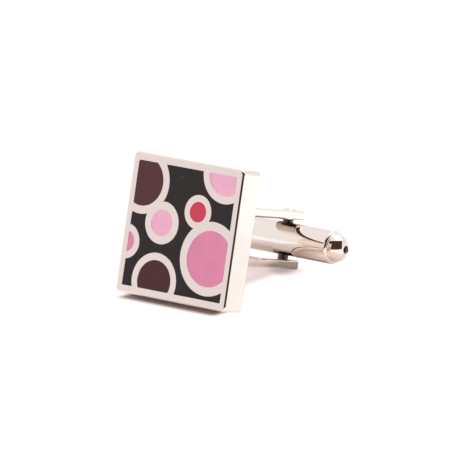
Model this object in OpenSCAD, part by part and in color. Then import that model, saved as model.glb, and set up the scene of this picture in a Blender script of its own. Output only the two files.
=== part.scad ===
// Cufflink: a square enamelled head, a U-shaped post frame and a bullet toggle on a cross pin.
// The origin is the centre of the head's back face, where a cuff lies against it.
// +X runs along the closed toggle, +Y back along the post, and +Z up along the pin.

/* [Head] */
// Width and height of the square head
head_w = 16; // [13:0.5:20]
// Depth of the head, from its front face to its back face
head_d = 3.2; // [2.4:0.1:4.5]
// Radius of the head's four corners, seen from the front
head_corner_r = 0.6; // [0.4:0.05:1.2]
// Radius that rounds the rim of the front face and of the back face
head_edge_r = 0.3; // [0.1:0.05:0.5]

/* [Face plate] */
// Thickness of the face plate
plate_t = 0.9; // [0.7:0.05:1.2]
// Width of the raised border round the enamel
border_w = 0.9; // [0.7:0.05:1.5]
// Depth of the cells that hold the enamel
cell_depth = 0.35; // [0.2:0.05:0.5]
// Largest radius of the corners where a dot's cell meets the border
cell_corner_r = 0.3; // [0.2:0.05:0.4]
// Depth of the enamel's surface below the metal round it
enamel_drop = 0.02; // [0:0.01:0.08]
// Thickness of the adhesive between the face plate and the case
bond_t = 0.12; // [0.05:0.01:0.25]
// Width of the bare metal land round the adhesive
bond_land = 1; // [0.6:0.1:2]

/* [Post frame] */
// Width of the strip that the frame is bent from
arm_w = 3; // [2.4:0.1:4]
// Thickness of the strip
arm_t = 1.05; // [0.8:0.05:1.4]
// Clear gap between the two arms
arm_gap = 4.6; // [4.3:0.1:6]
// Radius that rounds the strip's long edges
arm_edge_r = 0.2; // [0.1:0.05:0.3]
// Inside radius of the two bends at the foot
bend_r = 0.35; // [0.2:0.05:1]
// Distance from the head's back face to the pin's centre
pivot_reach = 16.2; // [13:0.1:20]
// Metal of the arms past the pin's centre
arm_past_pin = 1.35; // [1:0.05:2]
// Radius of the corners at the arms' ends
arm_corner_r = 0.4; // [0.2:0.05:0.8]
// Leg of the solder fillet round the foot
solder_leg = 0.35; // [0.2:0.05:0.6]

/* [Pivot pin] */
// Diameter of the pin
pin_d = 1.2; // [1:0.05:1.3]
// Diameter of the countersunk rivet heads
pin_head_d = 1.7; // [1.5:0.05:2]
// Depth of the countersunk rivet heads
pin_head_h = 0.25; // [0.15:0.05:0.4]
// Height of the rivet heads above the arms
pin_proud = 0.03; // [0:0.01:0.1]
// Clearance round the pin in the toggle, on the radius
pin_play = 0.04; // [0.02:0.01:0.08]

/* [Toggle] */
// Outside diameter of the barrel
barrel_d = 3.8; // [3.6:0.1:4.1]
// Length of the barrel between its two caps
barrel_l = 14.5; // [12:0.5:18]
// Wall of the barrel
barrel_wall = 0.4; // [0.3:0.05:0.5]
// Radius that rounds the barrel's two rims
rim_r = 0.28; // [0.1:0.02:0.3]
// Step down from the barrel's surface to the cap's
cap_step = 0.28; // [0.1:0.02:0.36]
// Length of the cap's spigot inside the barrel
spigot_l = 0.9; // [0.5:0.1:1.5]
// Wall of the cap's spigot, which sets the size of the hollow in its dome
spigot_wall = 0.35; // [0.25:0.05:0.45]
// Diameter of the vent hole in the cap's tip
vent_d = 0.9; // [0.5:0.1:1.2]

/* [Toggle core] */
// Length of the core that the pin runs through
core_l = 8; // [6:0.5:10]
// Clearance round the core and the springs
core_play = 0.03; // [0.01:0.01:0.05]
// Thickness of a leaf spring
spring_t = 0.18; // [0.12:0.02:0.24]
// Length of a leaf spring
spring_l = 6; // [4:0.5:7]

/* [Hidden] */
$fn = 96;
cut = head_w / 10;
front_y = -head_d;
joint_y = front_y + plate_t;
field_w = head_w - 2 * border_w;
half_field = field_w / 2;
rail_z = (arm_gap + arm_t) / 2;
outer_z = arm_gap / 2 + arm_t;
arm_end_y = pivot_reach + arm_past_pin;
bend_y = arm_t + bend_r;
bend_z = arm_gap / 2 - bend_r;
pin_r = pin_d / 2;
pin_head_r = pin_head_d / 2;
pin_hole_r = pin_r + pin_play;
barrel_r = barrel_d / 2;
bore_r = barrel_r - barrel_wall;
cap_r = barrel_r - cap_step;
core_r = bore_r - core_play;

// Width across the pin's flats, as a share of its diameter
pin_flat_share = 0.7;
pin_flat_w = pin_flat_share * pin_d;
// Width and height of the core's spring room, as shares of the core's diameter
room_w_share = 0.64;
room_h_share = 0.56;
room_w = 2 * core_r * room_w_share;
room_h = 2 * core_r * room_h_share;
spring_h = room_h - 2 * core_play;
spring_bow = room_w / 2 - core_play - spring_t - pin_flat_w / 2;
spring_r = (pow(spring_l / 2, 2) + pow(spring_bow, 2)) / (2 * spring_bow);

// How far the disc that rounds a cell's corner reaches, as a share of the distance to the cell's sides
corner_cross_share = 1.01;

// Each enamel dot: its centre across and up, its radius and its ring's outer radius, as shares of half
// the enamel field, and last the radius of its cell's corners as a share of the largest one
plum_upper_shares = [-0.854, 0.679, 0.394, 0.524, 0.6];
plum_lower_shares = [-0.37, -0.856, 0.335, 0.454, 0.25];
pale_corner_shares = [0.793, 1.024, 0.352, 0.479, 0.7];
pale_dot_shares = [-0.373, 0.077, 0.21, 0.341, 1];
red_dot_shares = [0.316, 0.349, 0.162, 0.272, 1];
rose_large_shares = [0.67, -0.346, 0.444, 0.59, 1];
rose_small_shares = [-1.049, -0.307, 0.169, 0.282, 0.25];
dots = [plum_upper_shares, plum_lower_shares, pale_corner_shares, pale_dot_shares, red_dot_shares,
    rose_large_shares, rose_small_shares];

// Stands a flat outline up and gives it the depth between two planes across the post
module slab(y_front, y_back) {
    translate([0, y_back, 0])
        rotate([90, 0, 0])
            linear_extrude(y_back - y_front)
                children();
}

// A rectangle with round corners
module rounded_rect(w, h, r) {
    square([w - 2 * r, h], center = true);
    square([w, h - 2 * r], center = true);
    for (x = [-1, 1], y = [-1, 1])
        translate([x * (w / 2 - r), y * (h / 2 - r)])
            circle(r);
}

// Section of the head's rim, from a corner's centre outwards, with one of its two edges rounded
module rim_section(y_sharp, y_round) {
    inward = y_sharp > y_round ? 1 : -1;
    y_in = y_round + inward * head_edge_r;
    flat_w = head_corner_r - head_edge_r;
    translate([0, min(y_in, y_sharp)])
        square([head_corner_r, abs(y_sharp - y_in)]);
    translate([0, min(y_in, y_round)])
        square([flat_w, head_edge_r]);
    intersection() {
        translate([flat_w, y_in])
            circle(head_edge_r);
        translate([flat_w, min(y_in, y_round)])
            square(head_edge_r);
    }
}

// The head's block from a sharp rim to a rounded rim: a square middle, four sides and four round corners
module head_block(y_sharp, y_round) {
    corner = head_w / 2 - head_corner_r;
    slab(min(y_sharp, y_round), max(y_sharp, y_round))
        square(2 * corner, center = true);
    for (turn = [0:90:270])
        rotate([0, turn, 0])
            translate([corner, 0, -corner]) {
                linear_extrude(2 * corner)
                    rim_section(y_sharp, y_round);
                rotate([-90, 0, 0])
                    rotate_extrude(angle = 90)
                        rim_section(y_sharp, y_round);
            }
}

// One disc of the pattern, given the dot's shares and which of its two radii to use
module dot_disc(shares, radius_index) {
    translate([shares[0], shares[1]] * half_field)
        circle(shares[radius_index] * half_field);
}

// What rounds one corner of a cell off: a wedge between two directions, less a disc that just crosses both
// of the cell's sides
module corner_web(corner_r, centre, to_border, to_side) {
    difference() {
        polygon([centre, centre + to_border * field_w, centre + (to_border + to_side) * field_w,
            centre + to_side * field_w]);
        translate(centre)
            circle(corner_cross_share * corner_r);
    }
}

// Every corner of one dot's cell: where its circle meets the border, and where two borders meet in it
module cell_corners(shares) {
    dot = [shares[0], shares[1]] * half_field;
    dot_r = shares[2] * half_field;
    corner_r = shares[4] * cell_corner_r;
    reach = half_field - corner_r;
    for (side = [-1, 1], along = [-1, 1], axis = [0, 1]) {
        run = pow(dot_r - corner_r, 2) - pow(reach - side * dot[axis], 2);
        other = dot[1 - axis] + along * sqrt(max(run, 0));
        centre = axis == 0 ? [side * reach, other] : [other, side * reach];
        to_border = axis == 0 ? [side, 0] : [0, side];
        if (run > 0 && abs(other) < reach)
            corner_web(corner_r, centre, to_border, (centre - dot) / norm(centre - dot));
    }
    for (x = [-1, 1], y = [-1, 1])
        if (norm([x, y] * reach - dot) + corner_r < dot_r)
            corner_web(corner_r, [x, y] * reach, [x, 0], [0, y]);
}

// The outline of one dot's cell, cut off by the border
module dot_cell(shares) {
    difference() {
        intersection() {
            dot_disc(shares, 2);
            square(field_w, center = true);
        }
        cell_corners(shares);
    }
}

// The outline of the black field, which runs round every ring
module black_cell() {
    difference() {
        square(field_w, center = true);
        for (shares = dots)
            dot_disc(shares, 3);
    }
}

// Fills a cell with enamel, a little below the metal
module enamel() {
    slab(front_y + enamel_drop, front_y + cell_depth)
        children();
}

module case() {
    color("Ivory")
        difference() {
            head_block(joint_y, 0);
            slab(joint_y - cut, joint_y + bond_t)
                square(head_w - 2 * bond_land, center = true);
        }
}

module face_plate() {
    color("MistyRose")
        difference() {
            head_block(joint_y, front_y);
            slab(front_y - cut, front_y + cell_depth)
                black_cell();
            for (shares = dots)
                slab(front_y - cut, front_y + cell_depth)
                    dot_cell(shares);
        }
}

module bond_layer() {
    color("DimGray")
        slab(joint_y, joint_y + bond_t)
            square(head_w - 2 * bond_land, center = true);
}

module enamel_black() {
    color([0.23, 0.21, 0.21])
        enamel()
            black_cell();
}

module enamel_plum_upper() {
    color([0.36, 0.24, 0.26])
        enamel()
            dot_cell(plum_upper_shares);
}

module enamel_plum_lower() {
    color([0.33, 0.22, 0.23])
        enamel()
            dot_cell(plum_lower_shares);
}

module enamel_pale_corner() {
    color([0.93, 0.69, 0.78])
        enamel()
            dot_cell(pale_corner_shares);
}

module enamel_pale_dot() {
    color([0.93, 0.69, 0.78])
        enamel()
            dot_cell(pale_dot_shares);
}

module enamel_red_dot() {
    color([0.8, 0.28, 0.37])
        enamel()
            dot_cell(red_dot_shares);
}

module enamel_rose_large() {
    color([0.86, 0.54, 0.65])
        enamel()
            dot_cell(rose_large_shares);
}

module enamel_rose_small() {
    color([0.86, 0.54, 0.65])
        enamel()
            dot_cell(rose_small_shares);
}

// One straight arm with rounded long edges and rounded end corners, lying at the middle height
module arm() {
    arm_l = arm_end_y - bend_y;
    intersection() {
        translate([0, bend_y, 0])
            rotate([-90, 0, 0])
                linear_extrude(arm_l)
                    rounded_rect(arm_w, arm_t, arm_edge_r);
        translate([0, arm_end_y - (arm_l + cut) / 2, -arm_t])
            linear_extrude(2 * arm_t)
                rounded_rect(arm_w, arm_l + cut, arm_corner_r);
    }
}

// One quarter bend of the strip about the X direction, starting at the given angle
module bend(start) {
    rotate([0, 90, 0])
        rotate([0, 0, start])
            rotate_extrude(angle = 90)
                translate([bend_r + arm_t / 2, 0])
                    rounded_rect(arm_t, arm_w, arm_edge_r);
}

// The whole strip, bent to a U, without its holes
module strip() {
    for (side = [-1, 1])
        translate([0, 0, side * rail_z])
            arm();
    translate([0, bend_y, bend_z])
        bend(180);
    translate([0, bend_y, -bend_z])
        bend(-90);
    translate([0, arm_t / 2, -bend_z])
        linear_extrude(2 * bend_z)
            rounded_rect(arm_w, arm_t, arm_edge_r);
}

// The pin's upper half, with its countersunk head in the arm
module rivet_end() {
    cylinder(h = outer_z, r = pin_r);
    translate([0, 0, outer_z - pin_head_h])
        cylinder(h = pin_head_h, r1 = pin_r, r2 = pin_head_r);
}

module post_frame() {
    color("Gainsboro")
        difference() {
            strip();
            for (side = [0, 1])
                translate([0, pivot_reach, 0])
                    mirror([0, 0, side]) {
                        rivet_end();
                        translate([0, 0, outer_z])
                            cylinder(h = cut, r = pin_head_r);
                    }
        }
}

// A fillet round the foot, where the frame's web stands on the head
module solder_joint() {
    foot_h = 2 * bend_z;
    lip = solder_leg / 10;
    color("Silver")
        difference() {
            hull() {
                slab(0, lip)
                    square([arm_w + 2 * solder_leg, foot_h + 2 * solder_leg], center = true);
                slab(0, solder_leg)
                    square([arm_w, foot_h + solder_leg], center = true);
            }
            strip();
        }
}

// The riveted pin: round in the arms and the barrel, square where the springs bear on it
module pivot_pin() {
    square_z = room_h / 2;
    color("LightGray")
        translate([0, pivot_reach, 0]) {
            for (side = [0, 1])
                mirror([0, 0, side])
                    difference() {
                        union() {
                            rivet_end();
                            translate([0, 0, outer_z])
                                cylinder(h = pin_proud, r = pin_head_r);
                        }
                        translate([0, 0, -cut])
                            cylinder(h = cut + square_z, r = pin_head_r);
                    }
            cube([pin_flat_w, pin_flat_w, 2 * square_z], center = true);
        }
}

// Turns a profile, drawn as radius and length, about the toggle's own axis at the pin
module toggle_turned() {
    translate([0, pivot_reach, 0])
        rotate([0, 90, 0])
            rotate_extrude()
                children();
}

// The pin's running hole through the toggle
module pin_hole() {
    translate([0, pivot_reach, 0])
        cylinder(h = 2 * barrel_d, r = pin_hole_r, center = true);
}

module toggle_barrel() {
    half_l = barrel_l / 2;
    color("WhiteSmoke")
        difference() {
            toggle_turned()
                intersection() {
                    translate([bore_r, -half_l])
                        square([barrel_wall, barrel_l]);
                    union() {
                        translate([0, -half_l])
                            square([barrel_r - rim_r, barrel_l]);
                        translate([0, rim_r - half_l])
                            square([barrel_r, barrel_l - 2 * rim_r]);
                        for (side = [-1, 1])
                            translate([barrel_r - rim_r, side * (half_l - rim_r)])
                                circle(rim_r);
                    }
                }
            pin_hole();
        }
}

// The core fills the barrel round the pin, with a room for the two springs that opens at one end
module toggle_core() {
    color("Goldenrod")
        difference() {
            toggle_turned()
                translate([0, -core_l / 2])
                    square([core_r, core_l]);
            translate([-spring_l / 2 - core_play, pivot_reach - room_w / 2, -room_h / 2])
                cube([core_l, room_w, room_h]);
            pin_hole();
        }
}

// One bowed leaf: its middle lies on a flat of the pin and its ends on the wall of the spring room
module leaf_spring() {
    translate([0, pivot_reach, -spring_h / 2])
        linear_extrude(spring_h)
            intersection() {
                translate([0, pin_flat_w / 2 + spring_r])
                    difference() {
                        circle(spring_r);
                        circle(spring_r - spring_t);
                    }
                translate([-spring_l / 2, 0])
                    square([spring_l, room_w / 2]);
            }
}

module detent_spring_rear() {
    color("SteelBlue")
        leaf_spring();
}

module detent_spring_front() {
    color("SteelBlue")
        translate([0, 2 * pivot_reach, 0])
            mirror([0, 1, 0])
                leaf_spring();
}

// A hollow dome with a vent hole in its tip and a spigot that fits the barrel's bore
module end_cap() {
    color("WhiteSmoke")
        toggle_turned()
            translate([0, barrel_l / 2])
                difference() {
                    union() {
                        difference() {
                            intersection() {
                                circle(cap_r);
                                square(cap_r);
                            }
                            circle(bore_r - spigot_wall);
                        }
                        translate([bore_r - spigot_wall, -spigot_l])
                            square([spigot_wall, spigot_l]);
                    }
                    translate([0, -barrel_l])
                        square([vent_d / 2, 2 * barrel_l]);
                }
}

module end_cap_right() {
    end_cap();
}

module end_cap_left() {
    mirror([1, 0, 0])
        end_cap();
}

case();
face_plate();
bond_layer();
enamel_black();
enamel_plum_upper();
enamel_plum_lower();
enamel_pale_corner();
enamel_pale_dot();
enamel_red_dot();
enamel_rose_large();
enamel_rose_small();
post_frame();
solder_joint();
pivot_pin();
toggle_barrel();
toggle_core();
detent_spring_front();
detent_spring_rear();
end_cap_right();
end_cap_left();
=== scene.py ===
"""A square enamelled cufflink leaning back on a white table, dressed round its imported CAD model."""

import math

import bmesh
import bpy
import numpy as np
from mathutils import Matrix, Vector


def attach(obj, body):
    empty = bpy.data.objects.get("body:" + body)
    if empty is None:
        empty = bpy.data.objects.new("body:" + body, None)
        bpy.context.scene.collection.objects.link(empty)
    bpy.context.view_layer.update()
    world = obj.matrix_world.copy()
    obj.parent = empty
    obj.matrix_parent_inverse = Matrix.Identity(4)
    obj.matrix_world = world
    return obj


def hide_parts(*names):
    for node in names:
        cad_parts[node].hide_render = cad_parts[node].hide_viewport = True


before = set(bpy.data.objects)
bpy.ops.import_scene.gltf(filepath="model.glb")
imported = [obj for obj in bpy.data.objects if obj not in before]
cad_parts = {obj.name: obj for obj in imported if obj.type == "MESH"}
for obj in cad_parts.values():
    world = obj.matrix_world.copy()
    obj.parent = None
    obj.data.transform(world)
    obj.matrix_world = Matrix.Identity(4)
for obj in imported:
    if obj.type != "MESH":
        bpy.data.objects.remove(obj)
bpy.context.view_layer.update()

MM = 0.001

# Sizes of the metal parts in millimetres, as the CAD model has them
PIVOT = 16.2
BARREL_R = 1.9
BORE_R = 1.5
BARREL_HALF = 7.25
RIM_R = 0.28
CAP_R = 1.62
CAP_HOLLOW_R = 1.15
SPIGOT = 0.9
VENT_R = 0.45
PIN_R = 0.6
PIN_HOLE_R = 0.64
PIN_HEAD_R = 0.85
PIN_HEAD_H = 0.25
PIN_FLAT = 0.42
PIN_FLAT_Z = 0.82
ARM_HALF_W = 1.5
ARM_HALF_T = 0.525
ARM_EDGE_R = 0.2
ARM_END_Y = 17.55
ARM_CORNER_R = 0.4
RAIL_Z = 2.825
OUTER_Z = 3.35
BEND_R = 0.875
BEND_Y = 1.4
WEB_HALF = 1.95
SOLDER_LEG = 0.35
HEAD_HALF = 8.0
HEAD_CORNER_R = 0.6
HEAD_EDGE_R = 0.3
FRONT_Y = -3.2

# Finer sizes in millimetres, which only the dressed pieces have
GROUND_EDGE_R = 0.25
CELL_LIP = 0.03
ARM_LIP = 0.1
HOLE_LIP = 0.05
BORE_EDGE_R = 0.03
PIN_EDGE_R = 0.05
PIN_DOME = 0.06
SOLDER_HALF_L = 2.0
SOLDER_CORNER_R = 0.3
SOLDER_INSIDE = 0.5
SOLDER_LIFT = 0.002

# Where the painted shade lies, in millimetres, and how much of it there is beside a pin hole: dark brown
# that stands in for shade round the pin, in the bore and in the caps' hollows
HOLE_SHADE = 0.75
HOLE_SHADE_R = 1.5
ARM_SHADE_R = 2.6
ARM_SHADE_FADE = 1.8
ARM_SHADE_Z = 2.425
PIN_SHADE_Z = 2.45
CAP_SHADE_DEPTH = 0.05
SHADE_FADE = 0.1

# The cufflink leans back on the foot of its head and on the end of its lower arm
FOOT_Z = -HEAD_HALF * MM
LEAN = math.atan2(-OUTER_Z * MM - FOOT_Z, ARM_END_Y * MM)
TABLE_UP = Vector((0.0, -math.sin(LEAN), math.cos(LEAN)))

# The photograph's view, in the frame of the CAD model
CAMERA_RIGHT = Vector((0.7731, 0.6183, 0.1417))
CAMERA_UP = Vector((-0.1469, -0.0429, 0.9882))
CAMERA_BACK = Vector((0.6171, -0.7848, 0.0577))
CAMERA_DISTANCE = 895.2 * MM
CAMERA_OFFSET = (-5.235 * MM, -0.548 * MM)
FOCAL_PX = 8000.0
FRAME_PX = 452.0
SENSOR_MM = 36.0

# The tent's dark front opening, with its edges as parts across and up a mirror ball in the photograph
OPENING_LEFT = -0.42
OPENING_RIGHT = 0.46
OPENING_LOW = -0.12
OPENING_HIGH = 0.475
SOFT_EDGE = 0.02

# Its left edge leans out by a share of the way down from one height to another
OPENING_LEAN = 0.4
LEAN_FROM = 0.45
LEAN_TO = 0.04

# Where the tent's bright sides begin and are whole, across the mirror ball
BRIGHT_RIGHT = (-0.25, 0.15)
BRIGHT_LEFT = (-0.66, -0.75)

# Where the tent's dim back and its seam begin and are whole: at the foot, at the top and towards the back
BACK_BAND = ((0.12, 0.3), (0.8, 0.6), (0.05, 0.35))
SEAM_BAND = ((-0.01, 0.01), (0.09, 0.05), (0.3, 0.6))

# Colours of the surroundings: white for the camera, the tent in mirrors, and the light on the pieces
WHITE = (1.0, 1.0, 1.0, 1.0)
TENT_WHITE = (1.0, 0.95, 0.965, 1.0)
TENT_BRIGHT = (1.14, 1.18, 1.18, 1.0)
TENT_BACK = (0.97, 0.9, 0.92, 1.0)
TENT_SEAM = (0.78, 0.66, 0.63, 1.0)
OPENING_DARK = (0.065, 0.04, 0.032, 1.0)
ROOM_LIGHT = (1.05, 1.05, 1.05, 1.0)

# Colours of the plain table, which set the tint and depth of its shade: the camera sees the first, a pink
# that tints its shadows as painted shade, and mirrors see the others near the cufflink as painted shade and
# painted light: tones for its sides, warmer to the right, a paler painted light and a dark painted shadow
TABLE_COLOUR = (0.58, 0.49, 0.48, 1.0)
TABLE_SIDE = (0.72, 0.61, 0.58, 1.0)
TABLE_WARM = (0.8, 0.625, 0.54, 1.0)
TABLE_PAINTED_LIGHT = (1.0, 0.85, 0.76, 1.0)
TABLE_PAINTED_SHADOW = (0.24, 0.175, 0.145, 1.0)

# The table's glow: a pink tint for the camera, which tints the shadows' edges as painted shade, strength
# near the cufflink and far behind, dimmer near it in mirrors as painted shade, and where far begins
GLOW_TINT = (1.0, 0.87, 0.87, 1.0)
GLOW_NEAR = 1.14
GLOW_FAR = 1.26
FAR_BEHIND = (22.0, 34.0)

# Patches of the table in millimetres: middle and reach along x, middle and reach behind the foot, and fade
UNDER_HEAD = (-1.0, 6.3, -0.6, 1.35, 1.6)
UNDER_POST = (-2.2, 1.6, 12.0, 4.6, 2.6)
UNDER_END = (-0.2, 0.6, 16.9, 0.4, 3.2)
NEAR_TOGGLE = (2.0, 9.5, 14.5, 5.5, 3.0)
NEAR_HEAD = (0.5, 5.0, 2.0, 6.0, 3.5)
NEAR_BACK = (4.0, 3.0, 20.5, 1.0, 2.0)
# The next two are painted: a painted light and a painted shadow that mirrors see under the toggle
PAINTED_LIGHT_PATCH = (4.7, 0.5, 15.0, 1.5, 1.8)
PAINTED_SHADOW_PATCH = (3.4, 1.6, 19.6, 1.6, 2.0)
# Where the tones that mirrors see, painted shade, turn warm along x and go back to the side tone behind
WARM_ALONG_X = (-1.0, 1.0)
SIDE_BEHIND = (16.0, 18.5)

# How plain the table is, 0 to 1: under the post, under the arm's end, elsewhere and in mirrors
PLAIN_POST = 0.5
PLAIN_END = 0.68
PLAIN_ELSEWHERE = 0.08
PLAIN_IN_MIRRORS = 0.9


def in_scene(name, data):
    """A new object that holds the data, in the scene."""
    made = bpy.data.objects.new(name, data)
    bpy.context.scene.collection.objects.link(made)
    return made


def unit(vectors):
    """Vectors brought to length 1. One that has no length stays as it is."""
    return vectors / np.maximum(np.linalg.norm(vectors, axis=-1, keepdims=True), 1e-30)


def mesh_piece(name, points, faces, outward, painted_shade=None):
    """A new mesh object from points in millimetres, arrays of faces that are each wound one way, and each
    point's outward direction. An array that is wound against its points' directions is turned round. The
    last argument gives each point's share of painted shade, 0 to 1."""
    turned = []
    for part in faces:
        first, second = (points[part[:, k]] - points[part[:, 0]] for k in (1, 2))
        against = (np.cross(first, second) * outward[part].sum(1)).sum() < 0
        turned.append(part[:, ::-1] if against else part)
    used = np.unique(np.concatenate([part.ravel() for part in turned]))
    place_of = np.zeros(len(points), int)
    place_of[used] = np.arange(len(used))
    corners = [row for part in turned for row in place_of[part].tolist()]
    mesh = bpy.data.meshes.new(name)
    mesh.from_pydata((points[used] * MM).tolist(), [], corners)
    mesh.polygons.foreach_set("use_smooth", np.full(len(mesh.polygons), True))
    mesh.normals_split_custom_set_from_vertices(outward[used].tolist())
    shade_share = np.zeros(len(used)) if painted_shade is None else painted_shade[used]
    mesh.attributes.new("painted_shade", "FLOAT", "POINT").data.foreach_set("value", shade_share.astype(np.float32))
    mesh.update()
    return in_scene(name, mesh)


def grid_quads(rows, columns, around_rows=False):
    """Quads between neighbours of a grid stored row by row. Its columns run round to the first, and so do
    its rows if asked."""
    starts = np.arange(rows if around_rows else rows - 1)
    row, column = np.meshgrid(starts, np.arange(columns), indexing="ij")
    below, beside = (row + 1) % rows, (column + 1) % columns
    corners = ((row, column), (row, beside), (below, beside), (below, column))
    return np.stack([corner_row * columns + corner_column for corner_row, corner_column in corners], -1)


def end_fan(start, count, tip):
    """Triangles from a ring of points, which are numbered from start, to the point that closes it."""
    ring = np.arange(count)
    return np.stack([ring + start, (ring + 1) % count + start, np.full(count, tip)], 1)


def all_round(count):
    """Angles that divide a full turn evenly."""
    return np.arange(count) * 2 * np.pi / count


def rounded_outline(corners, radii, steps=5):
    """A closed outline with round corners, and its outward directions: an arc that touches the lines into
    and out of a corner, along which the outward direction turns evenly. A corner of radius 0 keeps its
    point."""
    corners = np.asarray(corners, float)
    into = unit(corners - np.roll(corners, 1, 0))
    out_of = np.roll(into, -1, 0)
    turns = np.arctan2(into[:, 0] * out_of[:, 1] - into[:, 1] * out_of[:, 0], (into * out_of).sum(1))
    places, outward = [], []
    for corner, start, turn, radius in zip(corners, into, turns, radii):
        swing = turn * (np.linspace(0, 1, steps + 1) if radius else np.array([0.5]))
        right = np.array([start[1], -start[0]])
        direction = np.outer(np.cos(swing), right) + np.outer(np.sin(swing), start)
        reach = radius * np.sign(turn)
        middle = corner - start * radius * np.tan(abs(turn) / 2) - right * reach
        places.append(middle + direction * reach if radius else corner[None])
        outward.append(direction)
    return np.concatenate(places), np.concatenate(outward)


def rounded_rectangle(half_x, half_y, radius, steps):
    """A rectangle about the origin with round corners, and its outward directions."""
    corners = [(half_x, -half_y), (half_x, half_y), (-half_x, half_y), (-half_x, -half_y)]
    return rounded_outline(corners, [radius] * 4, steps)


def from_pin(points):
    """How far points are from the pin's axis."""
    return np.hypot(points[:, 0], points[:, 1] - PIVOT)


def turned_points(outline, directions, angles):
    """A piece turned on the toggle's axis: radius r at length x lies at (x, pivot + r cos a, r sin a)."""
    cos, sin, level = np.cos(angles), np.sin(angles), np.ones(len(angles))
    r, x = outline[:, :1], outline[:, 1:]
    across, along = directions[:, :1], directions[:, 1:]
    points = np.stack([x * level, PIVOT + r * cos, r * sin], -1).reshape(-1, 3)
    outward = np.stack([along * level, across * cos, across * sin], -1).reshape(-1, 3)
    return points, outward


def smooth_between_flats(mesh):
    """Shades a mesh of triangles so that sides square to an axis stay flat and what lies between them is
    smooth. A corner of a curved triangle takes the direction of the flat side that it touches, where that
    is within 60 degrees, and otherwise the mean of the curved triangles round it, weighted by area."""
    square, within_60_degrees = 0.9999, 0.5
    count = len(mesh.polygons)
    normals, areas, spots = np.zeros(count * 3), np.zeros(count), np.zeros(len(mesh.loops), int)
    mesh.polygons.foreach_get("normal", normals)
    mesh.polygons.foreach_get("area", areas)
    mesh.loops.foreach_get("vertex_index", spots)
    normals = normals.reshape(-1, 3)
    facets = np.repeat(np.arange(count), 3)
    axes = np.concatenate([np.eye(3), -np.eye(3)])
    flat = normals @ axes.T > square
    touched = np.zeros((len(mesh.vertices), 6), bool)
    np.logical_or.at(touched, spots, flat[facets])
    curved = ~flat.any(1)
    mean = np.zeros((len(mesh.vertices), 3))
    np.add.at(mean, spots, (normals * (areas * curved)[:, None])[facets])
    facing = np.where(touched[spots], (normals @ axes.T)[facets], -1.0)
    near = (facing.max(1) > within_60_degrees)[:, None]
    chosen = np.where(near, axes[facing.argmax(1)], unit(mean)[spots])
    corners = np.where(curved[facets][:, None], chosen, normals[facets])
    mesh.polygons.foreach_set("use_smooth", np.full(count, True))
    mesh.normals_split_custom_set(corners.tolist())


def is_front_rim(edge, slack=0.01, sharp=50):
    """Whether an edge lies in the front face, within a slack in millimetres, and turns by a sharp angle."""
    in_front = all(corner.co.y < (FRONT_Y + slack) * MM for corner in edge.verts)
    return in_front and len(edge.link_faces) == 2 and edge.calc_face_angle() > math.radians(sharp)


def ground_face():
    """The face plate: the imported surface, merged, with a tighter front edge and a broken lip round each
    cell. A point at some angle on the old edge's quarter circle goes to the same angle on a smaller one,
    which touches the same front and side."""
    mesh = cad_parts["face_plate"].data.copy()
    work = bmesh.new()
    work.from_mesh(mesh)
    bmesh.ops.remove_doubles(work, verts=work.verts, dist=0.002 * MM)
    bmesh.ops.dissolve_limit(work, angle_limit=math.radians(0.2), verts=work.verts, edges=work.edges)
    work.to_mesh(mesh)
    work.free()
    points = np.zeros(len(mesh.vertices) * 3)
    mesh.vertices.foreach_get("co", points)
    points = points.reshape(-1, 3) / MM
    slack = 0.001
    inner = HEAD_HALF - HEAD_CORNER_R
    beyond = np.maximum(np.abs(points[:, ::2]) - inner, 0)
    reach = np.hypot(beyond[:, 0], beyond[:, 1])
    out = reach - (HEAD_CORNER_R - HEAD_EDGE_R)
    ahead = -points[:, 1] + FRONT_Y + HEAD_EDGE_R
    on_edge = (out > -slack) & (ahead > -slack)
    share = GROUND_EDGE_R / HEAD_EDGE_R
    grown = (HEAD_CORNER_R - HEAD_EDGE_R * share + out * share) / np.maximum(reach, slack)
    grown = np.where(on_edge, grown, 1.0)
    plan = np.minimum(np.abs(points[:, ::2]), inner) + beyond * grown[:, None]
    points[:, ::2] = np.sign(points[:, ::2]) * plan
    points[:, 1] = np.where(on_edge, FRONT_Y + GROUND_EDGE_R - ahead * share, points[:, 1])
    mesh.vertices.foreach_set("co", (points * MM).ravel())
    mesh.update()
    work = bmesh.new()
    work.from_mesh(mesh)
    rims = [edge for edge in work.edges if is_front_rim(edge)]
    bmesh.ops.bevel(work, geom=rims, offset=CELL_LIP * MM, segments=2, profile=0.5, affect="EDGES")
    bmesh.ops.triangulate(work, faces=work.faces)
    work.to_mesh(mesh)
    work.free()
    smooth_between_flats(mesh)
    return in_scene("ground_face", mesh)


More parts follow.
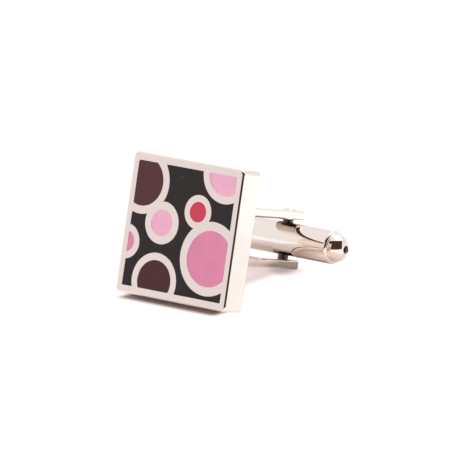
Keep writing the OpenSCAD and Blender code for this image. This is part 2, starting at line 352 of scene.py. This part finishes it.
def hole_rows(plan, radius, side, order):
    """Rows of points between a loop on the barrel's wall and a pin hole, with their outward directions and
    painted shade. On the wall a row lies a share of the way in from the loop, at height sqrt(radius^2 -
    y^2).
    The hole's lip is a quarter circle. order is 1 where the rows run in from the outside, and -1 where they
    run out to the bore."""
    direction = unit(plan)
    places, outward, painted_shade = [], [], []
    for kind, share in (("wall", 0.35), ("wall", 0.7), *(("lip", k / 4) for k in range(5))):
        if kind == "wall":
            swing = 0.0
            spot = plan + (direction * (PIN_HOLE_R + HOLE_LIP) - plan) * share
        else:
            swing = share * np.pi / 2
            spot = direction * (PIN_HOLE_R + HOLE_LIP * (1 - np.sin(swing)))
        drop = HOLE_LIP * (1 - np.cos(swing))
        height = np.sqrt(radius**2 - spot[:, 1] ** 2)
        wall_way = np.stack([0 * height, spot[:, 1], height * side], 1) / radius * order
        hole_way = np.concatenate([-direction, 0 * direction[:, :1]], 1)
        places.append(np.column_stack([spot[:, 0], PIVOT + spot[:, 1], side * (height - order * drop)]))
        outward.append(np.cos(swing) * wall_way + np.sin(swing) * hole_way)
        inside = order < 0 or kind == "lip" and share >= 0.5
        painted_shade.append(np.full(len(plan), 1.0 if inside else HOLE_SHADE))
    return places[::order], outward[::order], painted_shade[::order]


def toggle_barrel():
    """The barrel: its wall's outline, with round rims, turned on the toggle's axis, and two pin holes. Round
    each hole a block is left out of the outside and of the bore, and rows of points join the edges of the
    two blocks through the hole."""
    count, block_rows, block_columns = 192, 16, 32
    close = np.linspace(-1.0, 1.0, block_rows + 1)
    wider = np.array([1.15, 1.3, 1.5, 1.8, 2.4, 4.0])
    outer = [(BARREL_R, x) for x in (*-wider[::-1], *close, *wider)]
    inner = [(BORE_R, x) for x in (wider[-1], *close[::-1], -wider[-1])]
    left = [(BORE_R, -BARREL_HALF), (BARREL_R, -BARREL_HALF)]
    right = [(BARREL_R, BARREL_HALF), (BORE_R, BARREL_HALF)]
    radii = [BORE_EDGE_R, RIM_R, *[0] * len(outer), RIM_R, BORE_EDGE_R, *[0] * len(inner)]
    outline, directions = rounded_outline([*left, *outer, *right, *inner], radii, steps=7)
    points, outward = turned_points(outline, directions, all_round(count))
    quads = grid_quads(len(outline), count, around_rows=True)
    r, x = outline.T
    slack = 0.001
    in_block = np.abs(x) < close[-1] + slack
    outer_rows = np.flatnonzero(in_block & (r > BARREL_R - slack))
    bore_rows = np.flatnonzero(in_block & (r < BORE_R + slack))[::-1]
    # Painted shade: the bore is dark brown all over, and the outside round each pin hole darkens towards it
    in_bore = np.repeat(np.where(r < BORE_R + 2 * BORE_EDGE_R, 1.0, 0.0), count)
    beside = np.clip((HOLE_SHADE_R - from_pin(points)) / (HOLE_SHADE_R - PIN_HOLE_R), 0, 1) ** 1.5
    all_points, all_outward, all_painted_shade = [points], [outward], [np.maximum(in_bore, HOLE_SHADE * beside)]
    down, along = np.arange(block_rows), np.arange(block_columns)
    edge_row = np.concatenate([down, 0 * along + block_rows, block_rows - down, 0 * along])
    edge_column = np.concatenate([0 * down, along, 0 * down + block_columns, block_columns - along])
    ring, total = len(edge_row), len(points)
    faces = []
    keep = np.ones(quads.shape[:2], bool)
    for middle, side in ((count // 4, 1.0), (3 * count // 4, -1.0)):
        columns = middle - block_columns // 2 + np.arange(block_columns + 1)
        keep[outer_rows[0] : outer_rows[-1], columns[0] : columns[-1]] = False
        keep[bore_rows[-1] : bore_rows[0], columns[0] : columns[-1]] = False
        outside_loop = outer_rows[edge_row] * count + columns[edge_column]
        bore_loop = bore_rows[edge_row] * count + columns[edge_column]
        before = len(all_points)
        for loop, radius, order in ((outside_loop, BARREL_R, 1), (bore_loop, BORE_R, -1)):
            plan = points[loop][:, :2] - [0.0, PIVOT]
            new_points, new_outward, new_painted_shade = hole_rows(plan, radius, side, order)
            all_points += new_points
            all_outward += new_outward
            all_painted_shade += new_painted_shade
        added = total + np.arange((len(all_points) - before) * ring).reshape(-1, ring)
        total += added.size
        table = np.concatenate([outside_loop[None], added, bore_loop[None]])
        faces.append(table.ravel()[grid_quads(*table.shape)].reshape(-1, 4))
    faces.append(quads[keep])
    points, outward, painted_shade = (np.concatenate(rows) for rows in (all_points, all_outward, all_painted_shade))
    return mesh_piece("barrel_tube", points, faces, outward, painted_shade)


def arc(radius, degrees):
    """Points on a circle, as (distance from the axis, height above the middle)."""
    return [(radius * np.cos(a), radius * np.sin(a)) for a in np.radians(degrees)]


def end_cap(name, side):
    """One cap: the outline of its dome, vent, hollow and spigot turned on the toggle's axis. The dome is a
    circle of the cap's radius about the middle of the barrel's end, and the hollow a smaller one about the
    same point."""
    dome = arc(CAP_R, np.linspace(4, 71, 26))
    hollow = arc(CAP_HOLLOW_R, np.linspace(63, 5, 12))
    vent = [(VENT_R, np.sqrt(radius**2 - VENT_R**2)) for radius in (CAP_R, CAP_HOLLOW_R)]
    spigot = [(CAP_HOLLOW_R, -SPIGOT), (BORE_R, -SPIGOT), (BORE_R, 0.0)]
    radii = [0.02, *[0] * len(dome), 0.05, 0.04, *[0] * len(hollow), 0.04, 0.04, 0.01]
    outline, directions = rounded_outline([(CAP_R, 0.0), *dome, *vent, *hollow, *spigot], radii)
    count = 160
    points, outward = turned_points(outline + [0.0, BARREL_HALF], directions, all_round(count))
    from_middle = np.hypot(outline[:, 0], outline[:, 1])
    # Painted shade: the cap's vent, hollow and spigot are a matt dark brown, from just under the dome
    # inwards
    painted_shade = np.repeat(np.clip((CAP_R - CAP_SHADE_DEPTH - from_middle) / SHADE_FADE, 0, 1), count)
    points[:, 0] *= side
    outward[:, 0] *= side
    quads = grid_quads(len(outline), count, around_rows=True).reshape(-1, 4)
    return mesh_piece(name, points, [quads], outward, painted_shade)


def cross_pin():
    """The riveted pin: radius as a function of height and angle. Its shank is round, square where the
    springs bear on it, and cone-shaped under each head; a head is a low dome with a round edge."""
    rise = np.radians(np.linspace(0, 90, 9))
    step = 0.01
    shank = (PIN_FLAT_Z * 0.5, PIN_FLAT_Z, PIN_FLAT_Z + step, 1.6, 2.25, 2.4, OUTER_Z - PIN_HEAD_H)
    edge = [(OUTER_Z + PIN_EDGE_R * np.sin(a), PIN_HEAD_R - PIN_EDGE_R * (1 - np.cos(a))) for a in rise]
    dome_foot, dome_r = OUTER_Z + PIN_EDGE_R, PIN_HEAD_R - PIN_EDGE_R
    dome = [(dome_foot + PIN_DOME * np.sin(a), dome_r * np.cos(a)) for a in rise[1:-1]]
    tip = dome_foot + PIN_DOME
    heights, radii = np.array([*((height, PIN_R) for height in shank), *edge, *dome]).T
    heights = np.concatenate([-heights[::-1], heights])[:, None]
    radii = np.concatenate([radii[::-1], radii])[:, None]
    angles = all_round(96)[None]
    flat = PIN_FLAT / np.maximum(np.abs(np.cos(angles)), np.abs(np.sin(angles)))
    radii = np.where(np.abs(heights) < PIN_FLAT_Z + step / 2, np.minimum(flat, PIN_R), radii)
    points = np.stack([radii * np.cos(angles), PIVOT + radii * np.sin(angles), heights + 0 * angles], -1)
    slope = np.gradient(radii, axis=0) / np.gradient(heights, axis=0)
    outward = np.stack([np.cos(angles) + 0 * radii, np.sin(angles) + 0 * radii, -slope], -1)
    outward[np.abs(heights[:, 0]) < OUTER_Z - step, :, 2] = 0
    rows, count = radii.shape
    points = np.concatenate([points.reshape(-1, 3), [(0, PIVOT, tip), (0, PIVOT, -tip)]])
    outward = np.concatenate([unit(outward).reshape(-1, 3), [(0, 0, 1), (0, 0, -1)]])
    fans = [end_fan(0, count, rows * count + 1), end_fan((rows - 1) * count, count, rows * count)]
    # Painted shade: the shank is dark brown where it lies between and within the arms, and the heads stay
    # bright
    painted_shade = np.clip((PIN_SHADE_Z - np.abs(points[:, 2])) / SHADE_FADE, 0, 1)
    return mesh_piece("riveted_pin", points, [grid_quads(rows, count).reshape(-1, 4), *fans], outward, painted_shade)


def bent_strip():
    """The U of strip: a rectangle with round corners carried along arm, bend, web, bend and arm. Near an
    arm's end its half width and half thickness shrink along quarter circles, and a fan closes the end."""
    section, across = rounded_rectangle(ARM_HALF_W, ARM_HALF_T, ARM_EDGE_R, steps=6)
    swing = np.radians(np.linspace(90, 0, 14))
    ends = ARM_END_Y - ARM_CORNER_R * (1 - np.sin(swing))
    straight = np.array([16.6, 16.2, 15.6, 14.6, 12.0, 8.0, 4.0])
    bend = np.radians(np.linspace(0, 90, 19))
    arm_y = np.concatenate([ends, straight])
    path_y = np.concatenate([arm_y, BEND_Y - BEND_R * np.sin(bend)])
    path_z = np.concatenate([0 * arm_y + RAIL_Z, WEB_HALF + BEND_R * np.cos(bend)])
    way_y = np.concatenate([0 * arm_y, -np.sin(bend)])
    way_z = np.concatenate([0 * arm_y + 1, np.cos(bend)])
    path_y, way_y = (np.concatenate([half, half[::-1]]) for half in (path_y, way_y))
    path_z, way_z = (np.concatenate([half, -half[::-1]]) for half in (path_z, way_z))
    from_end = np.clip(ARM_END_Y - path_y, 0, 1)
    side_swing = np.arcsin(np.clip(1 - from_end / ARM_CORNER_R, 0, 1))[:, None]
    lip_swing = np.arcsin(np.clip(1 - from_end / ARM_LIP, 0, 1))[:, None]
    x = section[:, 0] - np.sign(section[:, 0]) * ARM_CORNER_R * (1 - np.cos(side_swing))
    t = section[:, 1] - np.sign(section[:, 1]) * ARM_LIP * (1 - np.cos(lip_swing))
    points = np.stack([x, path_y[:, None] + way_y[:, None] * t, path_z[:, None] + way_z[:, None] * t], -1)
    push = np.abs(across[:, 0]) * np.sin(side_swing) + np.abs(across[:, 1]) * np.sin(lip_swing)
    out_x, out_t = across[:, 0] * np.cos(side_swing), across[:, 1] * np.cos(lip_swing)
    outward = np.stack([out_x, out_t * way_y[:, None] + push, out_t * way_z[:, None]], -1)
    rows, count = x.shape
    points = np.concatenate([points.reshape(-1, 3), [(0, ARM_END_Y, RAIL_Z), (0, ARM_END_Y, -RAIL_Z)]])
    outward = np.concatenate([unit(outward).reshape(-1, 3), [(0, 1, 0), (0, 1, 0)]])
    fans = [end_fan(0, count, rows * count), end_fan((rows - 1) * count, count, rows * count + 1)]
    # Painted shade: the arms' inner sides darken towards the pin, where shade falls
    inner_side = np.abs(points[:, 2]) < ARM_SHADE_Z
    painted_shade = np.where(inner_side, np.clip((ARM_SHADE_R - from_pin(points)) / ARM_SHADE_FADE, 0, 1), 0)
    return mesh_piece("bent_strip", points, [grid_quads(rows, count).reshape(-1, 4), *fans], outward, painted_shade)


def solder_bead():
    """The solder round the foot: a hollow quarter circle carried round a rectangle with round corners. Its
    reach out from the strip swells and shrinks a little along the way, as solder does."""
    plan, away = rounded_rectangle(ARM_HALF_W, SOLDER_HALF_L, SOLDER_CORNER_R, steps=10)
    start = np.concatenate([[0], np.cumsum(np.linalg.norm(np.diff(plan, axis=0), axis=1))])
    total = start[-1] + np.linalg.norm(plan[0] - plan[-1])
    count = 160
    along = np.arange(count) / count * total
    closed = [np.concatenate([part, part[:1]]) for part in (plan, away)]
    lengths = np.append(start, total)
    plan, away = (np.stack([np.interp(along, lengths, part[:, k]) for k in (0, 1)], 1) for part in closed)
    turn = along / total * 2 * np.pi
    reach = SOLDER_LEG * (0.86 + 0.08 * np.sin(3 * turn + 0.6) + 0.05 * np.sin(7 * turn + 2.0))
    swing = np.radians(np.linspace(0, 90, 9))[:, None]
    inside, foot, top = [[-SOLDER_INSIDE]], [[0.0]], [[1.0]]
    out = np.concatenate([inside, 1 - np.sin(swing), inside])
    up = np.concatenate([foot, 1 - np.cos(swing), top])
    tilt = np.concatenate([[[np.pi / 2]], swing, [[np.pi / 2]]])
    x, z = (plan[:, k] + away[:, k] * out * reach for k in (0, 1))
    points = np.stack([x, up * reach + SOLDER_LIFT, z], -1)
    out_x, out_z = (away[:, k] * np.sin(tilt) for k in (0, 1))
    outward = np.stack([out_x, np.cos(tilt) + 0 * out_x, out_z], -1)
    outward[0] = (0.0, -1.0, 0.0)
    outward[-1] = (0.0, 1.0, 0.0)
    quads = grid_quads(len(points), count, around_rows=True).reshape(-1, 4)
    return mesh_piece("solder_bead", points.reshape(-1, 3), [quads], outward.reshape(-1, 3))


class Reckoning:
    """Short ways to add nodes to a tree and to do sums with them."""

    def __init__(self, tree):
        self.nodes = tree.nodes
        self.links = tree.links

    def add(self, kind, **values):
        """A new node with these values."""
        node = self.nodes.new(kind)
        for key, value in values.items():
            setattr(node, key, value)
        return node

    def feed(self, value, socket):
        """Sets a number, tuple or vector on a socket, or links a node's output to it."""
        if isinstance(value, (int, float)):
            socket.default_value = value
        elif isinstance(value, (tuple, Vector)):
            socket.default_value = tuple(value)
        else:
            self.links.new(value, socket)

    def sum(self, operation, first, *others):
        """An operation on one number, or from the first number on through all the others."""
        for other in others or (0.0,):
            node = self.add("ShaderNodeMath", operation=operation)
            self.feed(first, node.inputs[0])
            self.feed(other, node.inputs[1])
            first = node.outputs["Value"]
        return first

    def vector(self, operation, first, second=(0.0, 0.0, 0.0), output="Vector"):
        """An operation on one vector or two."""
        node = self.add("ShaderNodeVectorMath", operation=operation)
        self.feed(first, node.inputs[0])
        self.feed(second, node.inputs[1])
        return node.outputs[output]

    def along(self, place, direction):
        """How far a place lies along a direction."""
        return self.vector("DOT_PRODUCT", place, direction, "Value")

    def step(self, value, start, end):
        """Rises smoothly from 0 at start to 1 at end."""
        node = self.add("ShaderNodeMapRange", interpolation_type="SMOOTHSTEP")
        self.feed(value, node.inputs["Value"])
        node.inputs["From Min"].default_value = start
        node.inputs["From Max"].default_value = end
        return node.outputs["Result"]

    def blend(self, share, first, second):
        """A colour between two, the first where the share is 0 and the second where it is 1."""
        node = self.add("ShaderNodeMix", data_type="RGBA")
        self.feed(share, node.inputs["Factor"])
        self.feed(first, node.inputs["A"])
        self.feed(second, node.inputs["B"])
        return node.outputs["Result"]

    def shown_rays(self):
        """Two numbers: 1 for rays that show the surroundings, from the camera, a mirror or glass, and 1 for
        the camera's own."""
        path = self.add("ShaderNodeLightPath").outputs
        to_camera = path["Is Camera Ray"]
        return self.sum("MAXIMUM", to_camera, path["Is Glossy Ray"], path["Is Transmission Ray"]), to_camera


class Finish(Reckoning):
    """A node material under construction, with one Principled shader."""

    noise_range = (0.3, 0.7)

    def __init__(self, name):
        self.material = bpy.data.materials.new(name)
        self.material.use_nodes = True
        super().__init__(self.material.node_tree)
        self.shader = self.nodes["Principled BSDF"]
        self.place = self.add("ShaderNodeTexCoord").outputs["Object"]

    def put(self, value, name):
        """Feeds one of the shader's sockets."""
        self.feed(value, self.shader.inputs[name])

    def noise(self, scale, detail=2.0):
        """Noise on the piece's own place, with its scale in turns per metre."""
        noise = self.add("ShaderNodeTexNoise")
        noise.inputs["Scale"].default_value = scale
        noise.inputs["Detail"].default_value = detail
        self.feed(self.place, noise.inputs["Vector"])
        return noise.outputs["Fac"]

    def spread(self, source, low, high):
        """Maps a noise from its usual range to low and high."""
        node = self.add("ShaderNodeMapRange")
        self.feed(source, node.inputs["Value"])
        names = ("From Min", "From Max", "To Min", "To Max")
        for name, value in zip(names, (*self.noise_range, low, high)):
            node.inputs[name].default_value = value
        return node.outputs["Result"]

    def shades(self, source, colour, low, high):
        """A colour that runs from low to high times itself as a noise rises, and never passes 1."""
        ramp = self.add("ShaderNodeValToRGB")
        for end, place, factor in zip(ramp.color_ramp.elements, self.noise_range, (low, high)):
            end.position = place
            end.color = (*(min(1.0, c * factor) for c in colour), 1.0)
        self.feed(source, ramp.inputs["Fac"])
        return ramp.outputs["Color"]

    def bump(self, source, distance):
        """Lifts the surface with a noise by up to a distance in metres."""
        node = self.add("ShaderNodeBump")
        node.inputs["Distance"].default_value = distance
        self.feed(source, node.inputs["Height"])
        self.put(node.outputs["Normal"], "Normal")


# How much haze the painted shade adds to the polish, as it mostly is and where it is matt
SHADE_HAZE = 0.16
MATT_HAZE = 0.95


def polished_metal(name, colour, rough=0.03, waviness=0.0000006, painted_shade=None, matt_shade=False, skin=None):
    """Plated metal polished bright: faint haze that comes and goes, and a surface that is not quite even.
    Where the piece's attribute of painted shade is 1 it is painted a blotchy dark colour with more haze, as
    painted shade that may be matt. A skin gives one flat side its own colour and more haze, from one depth
    along the post to another."""
    finish = Finish(name)
    finish.put(1.0, "Metallic")
    bright = finish.shades(finish.noise(420.0), colour, 0.985, 1.02)
    haze = finish.spread(finish.noise(900.0, detail=3.0), rough * 0.7, rough * 1.5)
    if painted_shade:
        shade_share = finish.add("ShaderNodeAttribute", attribute_name="painted_shade").outputs["Fac"]
        blotchy = finish.sum("MULTIPLY", shade_share, finish.spread(finish.noise(2600.0, detail=4.0), 0.93, 1.0))
        bright = finish.blend(blotchy, bright, (*painted_shade, 1.0))
        shade_haze = MATT_HAZE if matt_shade else SHADE_HAZE
        haze = finish.sum("ADD", haze, finish.sum("MULTIPLY", blotchy, shade_haze))
        if matt_shade:
            finish.put(finish.sum("SUBTRACT", 1.0, blotchy), "Metallic")
            finish.put(0.1, "Specular IOR Level")
    if skin:
        start, end, skin_colour, skin_haze = skin
        side = finish.step(finish.along(finish.place, (0.0, 1.0, 0.0)), start * MM, end * MM)
        bright = finish.blend(side, bright, (*skin_colour, 1.0))
        haze = finish.sum("ADD", haze, finish.sum("MULTIPLY", side, skin_haze))
    finish.put(bright, "Base Color")
    finish.put(haze, "Roughness")
    finish.bump(finish.noise(600.0, detail=1.0), waviness)
    return finish.material


def resin_enamel(name, colour, rough=0.2, dust=None):
    """Glossy resin enamel: a colour that drifts slightly and a faintly uneven surface. A dust colour adds a
    few pale specks, at most 0.2 mm wide."""
    finish = Finish(name)
    drift = finish.shades(finish.noise(380.0, detail=3.0), colour, 0.95, 1.05)
    if dust:
        cells = finish.add("ShaderNodeTexVoronoi")
        cells.inputs["Scale"].default_value = 450.0
        finish.feed(finish.place, cells.inputs["Vector"])
        speck = finish.step(cells.outputs["Distance"], 0.045, 0.02)
        few = finish.step(finish.along(cells.outputs["Color"], (1.0, 0.0, 0.0)), 0.55, 0.6)
        drift = finish.blend(finish.sum("MULTIPLY", speck, few), drift, (*dust, 1.0))
    finish.put(drift, "Base Color")
    finish.put(finish.spread(finish.noise(1500.0), rough * 0.8, rough * 1.2), "Roughness")
    finish.bump(finish.noise(1200.0, detail=1.0), 0.000002)
    finish.put(0.3, "Specular IOR Level")
    return finish.material


# Colours of the plating and of the painted shade on it, and skins as start, end, colour and haze
METAL = (0.87, 0.805, 0.755)
SHADE_BROWN = (0.2, 0.13, 0.1)
DEEP_SHADE_BROWN = (0.09, 0.056, 0.04)
CAP_SHADE_BROWN = (0.17, 0.08, 0.055)
BACK_SKIN = (-0.05, -0.01, (0.81, 0.69, 0.59), 0.04)
FACE_SKIN = (-3.16, -3.19, (0.83, 0.74, 0.7), 0.09)
FINISHES = {
    "case": polished_metal("polished_case", METAL, skin=BACK_SKIN),
    "face_plate": polished_metal("polished_face", METAL, skin=FACE_SKIN),
    "post_frame": polished_metal("polished_frame", METAL, painted_shade=SHADE_BROWN),
    "solder_joint": polished_metal("plated_solder", (0.86, 0.82, 0.8), rough=0.12, waviness=0.00001),
    "pivot_pin": polished_metal("polished_pin", METAL, rough=0.06, painted_shade=DEEP_SHADE_BROWN),
    "toggle_barrel": polished_metal("polished_barrel", METAL, painted_shade=DEEP_SHADE_BROWN),
    "end_cap_right": polished_metal("polished_cap", METAL, painted_shade=CAP_SHADE_BROWN, matt_shade=True),
    "toggle_core": polished_metal("turned_brass", (0.78, 0.6, 0.32), rough=0.25),
    "detent_spring_front": polished_metal("spring_steel", (0.6, 0.6, 0.62), rough=0.2),
    "bond_layer": resin_enamel("cured_adhesive", (0.35, 0.33, 0.3), rough=0.5),
    "enamel_black": resin_enamel("black_enamel", (0.016, 0.011, 0.0105), dust=(0.13, 0.11, 0.1)),
    "enamel_plum_upper": resin_enamel("plum_enamel", (0.08, 0.022, 0.03)),
    "enamel_plum_lower": resin_enamel("deep_plum_enamel", (0.063, 0.015, 0.02)),
    "enamel_pale_corner": resin_enamel("pale_pink_enamel", (0.85, 0.44, 0.606)),
    "enamel_red_dot": resin_enamel("raspberry_enamel", (0.575, 0.042, 0.097)),
    "enamel_rose_large": resin_enamel("rose_enamel", (0.705, 0.247, 0.405)),
}
SAME_FINISH = {
    "end_cap_left": "end_cap_right",
    "detent_spring_rear": "detent_spring_front",
    "enamel_pale_dot": "enamel_pale_corner",
    "enamel_rose_small": "enamel_rose_large",
}

for node_name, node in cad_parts.items():
    node.data.materials.clear()
    node.data.materials.append(FINISHES[SAME_FINISH.get(node_name, node_name)])

for piece, node_name, body, slot in (
    (ground_face(), "face_plate", "head", "polished_face"),
    (toggle_barrel(), "toggle_barrel", "toggle", "polished_toggle"),
    (end_cap("cap_right", 1.0), "end_cap_right", "toggle", "polished_cap"),
    (end_cap("cap_left", -1.0), "end_cap_left", "toggle", "polished_cap"),
    (cross_pin(), "pivot_pin", "head", "polished_pin"),
    (bent_strip(), "post_frame", "head", "polished_frame"),
    (solder_bead(), "solder_joint", "head", "solder"),
):
    piece.data.materials.append(FINISHES[SAME_FINISH.get(node_name, node_name)])
    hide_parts(node_name)
    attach(piece, body)


def white_room():
    """A white tent all round, seen white. Mirrors also see its dark front opening, its brighter sides, its
    slightly dimmer back and the seam where that meets the table."""
    world = bpy.data.worlds.new("white_tent")
    world.use_nodes = True
    bpy.context.scene.world = world
    sums = Reckoning(world.node_tree)
    shown, to_camera = sums.shown_rays()
    ray = sums.add("ShaderNodeTexCoord").outputs["Generated"]
    # A mirror that shows a ray in the photograph faces halfway between the ray and the camera
    half = sums.vector("NORMALIZE", sums.vector("ADD", ray, CAMERA_BACK))
    across, up = sums.along(half, CAMERA_RIGHT), sums.along(half, CAMERA_UP)
    drop = sums.sum("SUBTRACT", LEAN_FROM, sums.sum("MAXIMUM", up, LEAN_TO))
    leaned = sums.sum("ADD", across, sums.sum("MULTIPLY", drop, OPENING_LEAN))
    opening = sums.sum(
        "MULTIPLY",
        sums.step(leaned, OPENING_LEFT - SOFT_EDGE, OPENING_LEFT),
        sums.step(across, OPENING_RIGHT + SOFT_EDGE, OPENING_RIGHT),
        sums.step(up, OPENING_LOW - SOFT_EDGE, OPENING_LOW),
        sums.step(up, OPENING_HIGH + SOFT_EDGE, OPENING_HIGH),
    )
    rise, behind = sums.along(ray, TABLE_UP), sums.along(ray, (0.0, 1.0, 0.0))
    sides = sums.sum("MAXIMUM", sums.step(across, *BRIGHT_RIGHT), sums.step(across, *BRIGHT_LEFT))

    def band(foot, top, far):
        """1 on a band between two heights of the tent, towards its back."""
        return sums.sum("MULTIPLY", sums.step(rise, *foot), sums.step(rise, *top), sums.step(behind, *far))

    seen = sums.blend(sides, TENT_WHITE, TENT_BRIGHT)
    seen = sums.blend(band(*BACK_BAND), seen, TENT_BACK)
    seen = sums.blend(band(*SEAM_BAND), seen, TENT_SEAM)
    seen = sums.blend(opening, seen, OPENING_DARK)
    seen = sums.blend(to_camera, seen, WHITE)
    background = sums.nodes["Background"]
    sums.feed(sums.blend(shown, ROOM_LIGHT, seen), background.inputs["Color"])
    background.inputs["Strength"].default_value = 1.0


def table_top():
    """The table: a flat white plate that leans with the cufflink, so that it stands on the table. It glows
    white except under the head, the post and the lower arm's end, where it is plain and shows the shadow,
    tinted pink as painted shade. Mirrors see it plain near the cufflink, tinted there with painted shade and
    painted light, and glowing further away, dimmer near the cufflink as painted shade."""
    half = 600.0
    up = np.array(TABLE_UP)
    along = np.array([1.0, 0.0, 0.0])
    across = np.cross(up, along)
    corners = [along * half * a + across * half * b for a, b in ((-1, -1), (1, -1), (1, 1), (-1, 1))]
    corners = np.array(corners) + [0.0, 0.0, -HEAD_HALF]
    top = mesh_piece("table_top", corners, [np.array([[0, 1, 2, 3]])], np.tile(up, (4, 1)))
    finish = Finish("white_table")
    finish.put(0.8, "Roughness")
    finish.put(0.1, "Specular IOR Level")
    from_foot = finish.vector("SUBTRACT", finish.place, (0.0, 0.0, FOOT_Z))
    x = finish.sum("MULTIPLY", finish.along(finish.place, tuple(along)), 1.0 / MM)
    behind = finish.sum("MULTIPLY", finish.along(from_foot, tuple(across)), 1.0 / MM)

    def beyond(value, middle, reach):
        """How far a value is past the reach from the middle, squared."""
        from_middle = finish.sum("ABSOLUTE", finish.sum("SUBTRACT", value, middle))
        past = finish.sum("MAXIMUM", finish.sum("SUBTRACT", from_middle, reach), 0.0)
        return finish.sum("MULTIPLY", past, past)

    def patch(middle_x, reach_x, middle_behind, reach_behind, fade):
        """1 on a rectangle of the table, falling smoothly to 0 at a distance of fade from it."""
        far_x, far_behind = beyond(x, middle_x, reach_x), beyond(behind, middle_behind, reach_behind)
        return finish.step(finish.sum("SQRT", finish.sum("ADD", far_x, far_behind)), fade, 0.0)

    shown, to_camera = finish.shown_rays()
    near = finish.sum("MAXIMUM", patch(*NEAR_TOGGLE), patch(*NEAR_HEAD), patch(*NEAR_BACK))
    plain = finish.sum(
        "MAXIMUM",
        patch(*UNDER_HEAD),
        finish.sum("MULTIPLY", patch(*UNDER_POST), PLAIN_POST),
        finish.sum("MULTIPLY", patch(*UNDER_END), PLAIN_END),
        PLAIN_ELSEWHERE,
        finish.sum("MULTIPLY", near, finish.sum("SUBTRACT", PLAIN_IN_MIRRORS, to_camera)),
    )
    # Painted shade and painted light: tones that only mirrors see on the plain table near the cufflink
    colour = finish.blend(finish.step(x, *WARM_ALONG_X), TABLE_SIDE, TABLE_WARM)
    colour = finish.blend(finish.step(behind, *SIDE_BEHIND), colour, TABLE_SIDE)
    # Painted light and painted shadow that mirrors see under the barrel and by the lower arm's end
    colour = finish.blend(patch(*PAINTED_LIGHT_PATCH), colour, TABLE_PAINTED_LIGHT)
    colour = finish.blend(patch(*PAINTED_SHADOW_PATCH), colour, TABLE_PAINTED_SHADOW)
    # The camera sees the table's pink, which tints its shadows as painted shade
    finish.put(finish.blend(to_camera, colour, TABLE_COLOUR), "Base Color")
    # Painted shade in mirrors: the glow is dimmer near the cufflink than far behind it
    further = finish.sum("MAXIMUM", finish.step(behind, *FAR_BEHIND), to_camera)
    strength = finish.sum("ADD", finish.sum("MULTIPLY", further, GLOW_FAR - GLOW_NEAR), GLOW_NEAR)
    glow = finish.add("ShaderNodeEmission")
    finish.feed(finish.blend(to_camera, WHITE, GLOW_TINT), glow.inputs["Color"])
    finish.feed(strength, glow.inputs["Strength"])
    both = finish.add("ShaderNodeMixShader")
    finish.feed(finish.sum("MULTIPLY", shown, finish.sum("SUBTRACT", 1.0, plain)), both.inputs[0])
    finish.feed(finish.shader.outputs["BSDF"], both.inputs[1])
    finish.feed(glow.outputs["Emission"], both.inputs[2])
    finish.feed(both.outputs["Shader"], finish.nodes["Material Output"].inputs["Surface"])
    top.data.materials.append(finish.material)


def ceiling_lamp():
    """A square soft lamp above and behind the cufflink, which faces it."""
    light = bpy.data.lights.new("ceiling_lamp", "AREA")
    light.shape = "SQUARE"
    light.size = 0.3
    light.energy = 0.9
    place = Vector((0.02, 0.1, 0.45))
    lamp = in_scene("ceiling_lamp", light)
    lamp.location = place
    lamp.rotation_mode = "QUATERNION"
    lamp.rotation_quaternion = (-place).to_track_quat("-Z", "Y")


def photo_camera():
    """The camera that the photograph was taken with, worked out from the head's edges."""
    data = bpy.data.cameras.new("photo_camera")
    data.lens = SENSOR_MM * FOCAL_PX / FRAME_PX
    data.sensor_width = SENSOR_MM
    data.clip_start = 0.01
    data.clip_end = 10.0
    seen = Vector((0.0, FRONT_Y * MM, 0.0))
    place = seen - CAMERA_RIGHT * CAMERA_OFFSET[0] - CAMERA_UP * CAMERA_OFFSET[1]
    place += CAMERA_BACK * CAMERA_DISTANCE
    turn = Matrix((CAMERA_RIGHT, CAMERA_UP, CAMERA_BACK)).transposed().to_4x4()
    camera = in_scene("photo_camera", data)
    camera.matrix_world = Matrix.Translation(place) @ turn
    bpy.context.scene.camera = camera


white_room()
table_top()
ceiling_lamp()
photo_camera()

bpy.context.scene.view_settings.view_transform = "Standard"
